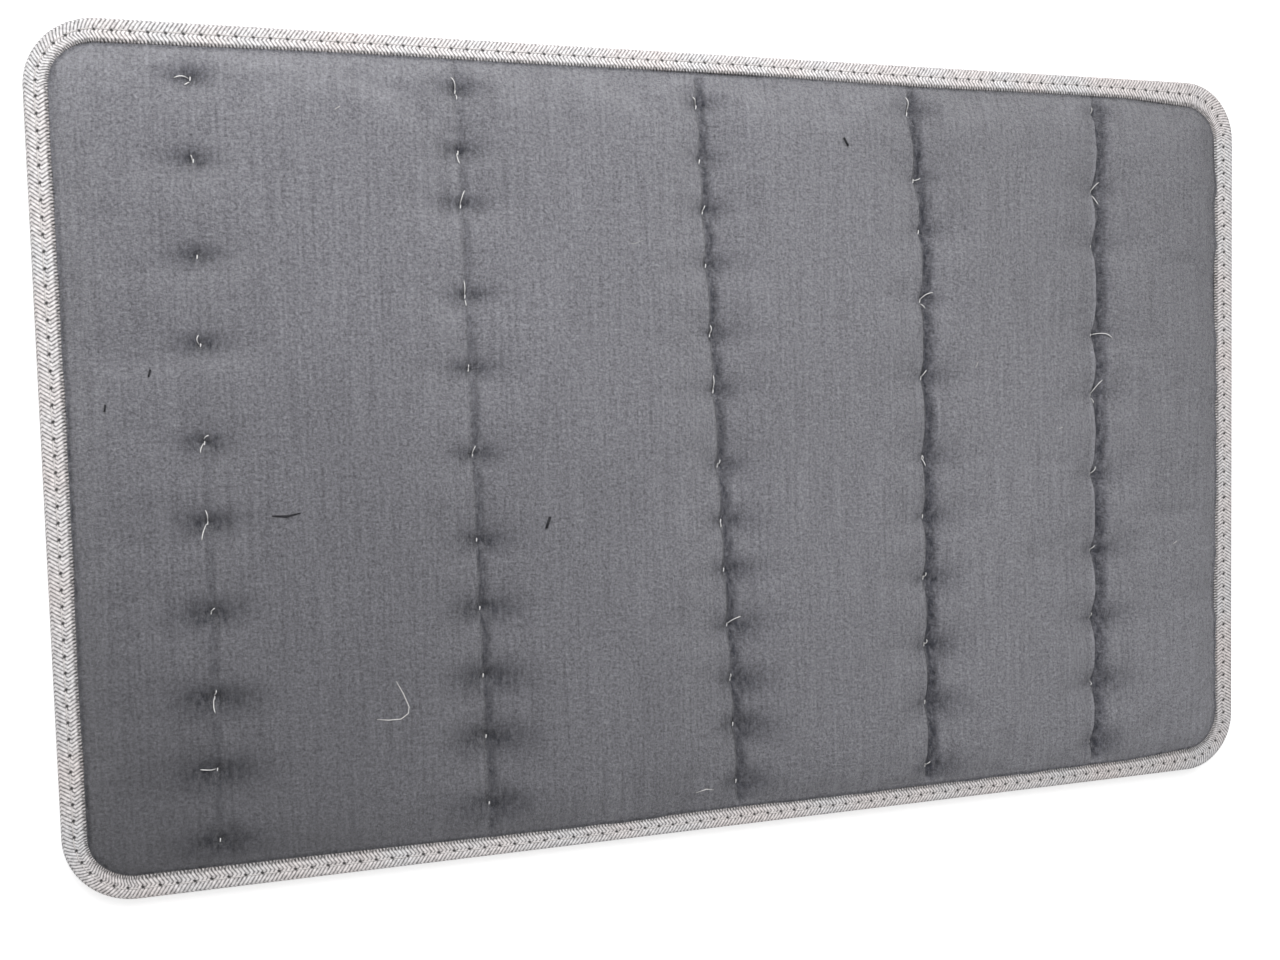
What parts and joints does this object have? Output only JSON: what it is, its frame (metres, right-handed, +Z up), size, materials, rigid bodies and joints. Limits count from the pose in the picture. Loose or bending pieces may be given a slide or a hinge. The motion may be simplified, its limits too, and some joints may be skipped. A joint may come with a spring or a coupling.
{
  "type": "kneeling pad",
  "caption": "Thin rounded-rectangle kneeling pad: foam between velour covers, bound with woven tape, quilted into channels that fold up at their tack rows.",
  "frame": {"origin": "middle of the underside, where the pad lies on the ground", "axes": "+X along the pad's length, +Y across it, +Z up out of the kneeling face"},
  "size_m": [0.4, 0.25, 0.012],
  "materials": {
    "velour": "brushed velour, dark grey",
    "foam": "open-cell foam",
    "tape": "herringbone twill tape, silver grey",
    "seam_thread": "spun polyester thread",
    "quilting_thread": "heavy twisted thread, off white"
  },
  "bodies": {
    "channel_1": {"top_cover_1": "velour", "bottom_cover_1": "velour", "foam_core_1": "foam", "binding_tape_end_1": "tape", "needle_thread_end_1": "seam_thread", "bobbin_thread_end_1": "seam_thread"},
    "channel_2": {"top_cover_2": "velour", "bottom_cover_2": "velour", "foam_core_2": "foam", "binding_tape_front_2": "tape", "binding_tape_back_2": "tape", "needle_thread_front_2": "seam_thread", "needle_thread_back_2": "seam_thread", "bobbin_thread_front_2": "seam_thread", "bobbin_thread_back_2": "seam_thread", "quilting_thread_1": "quilting_thread"},
    "channel_3": {"top_cover_3": "velour", "bottom_cover_3": "velour", "foam_core_3": "foam", "binding_tape_front_3": "tape", "binding_tape_back_3": "tape", "needle_thread_front_3": "seam_thread", "needle_thread_back_3": "seam_thread", "bobbin_thread_front_3": "seam_thread", "bobbin_thread_back_3": "seam_thread", "quilting_thread_2": "quilting_thread", "quilting_thread_3": "quilting_thread"},
    "channel_4": {"top_cover_4": "velour", "bottom_cover_4": "velour", "foam_core_4": "foam", "binding_tape_front_4": "tape", "binding_tape_back_4": "tape", "needle_thread_front_4": "seam_thread", "needle_thread_back_4": "seam_thread", "bobbin_thread_front_4": "seam_thread", "bobbin_thread_back_4": "seam_thread", "quilting_thread_4": "quilting_thread"},
    "channel_5": {"top_cover_5": "velour", "bottom_cover_5": "velour", "foam_core_5": "foam", "binding_tape_front_5": "tape", "binding_tape_back_5": "tape", "needle_thread_front_5": "seam_thread", "needle_thread_back_5": "seam_thread", "bobbin_thread_front_5": "seam_thread", "bobbin_thread_back_5": "seam_thread", "quilting_thread_5": "quilting_thread"},
    "channel_6": {"top_cover_6": "velour", "bottom_cover_6": "velour", "foam_core_6": "foam", "binding_tape_end_6": "tape", "needle_thread_end_6": "seam_thread", "bobbin_thread_end_6": "seam_thread"}
  },
  "joints": [
    {"name": "fold_2", "type": "hinge", "parent": "channel_3", "child": "channel_2", "pos_m": [-0.079, 0, 0.006], "axis": [0, 1, 0], "range_deg": [0, 60], "stiffness_Nm_per_rad": 0.02},
    {"name": "fold_1", "type": "hinge", "parent": "channel_2", "child": "channel_1", "pos_m": [-0.157, 0, 0.006], "axis": [0, 1, 0], "range_deg": [0, 60], "stiffness_Nm_per_rad": 0.02},
    {"name": "fold_3", "type": "hinge", "parent": "channel_3", "child": "channel_4", "pos_m": [0, 0, 0.006], "axis": [0, -1, 0], "range_deg": [0, 60], "stiffness_Nm_per_rad": 0.02},
    {"name": "fold_4", "type": "hinge", "parent": "channel_4", "child": "channel_5", "pos_m": [0.073, 0, 0.006], "axis": [0, -1, 0], "range_deg": [0, 60], "stiffness_Nm_per_rad": 0.02},
    {"name": "fold_5", "type": "hinge", "parent": "channel_5", "child": "channel_6", "pos_m": [0.143, 0, 0.006], "axis": [0, -1, 0], "range_deg": [0, 60], "stiffness_Nm_per_rad": 0.02}
  ]
}
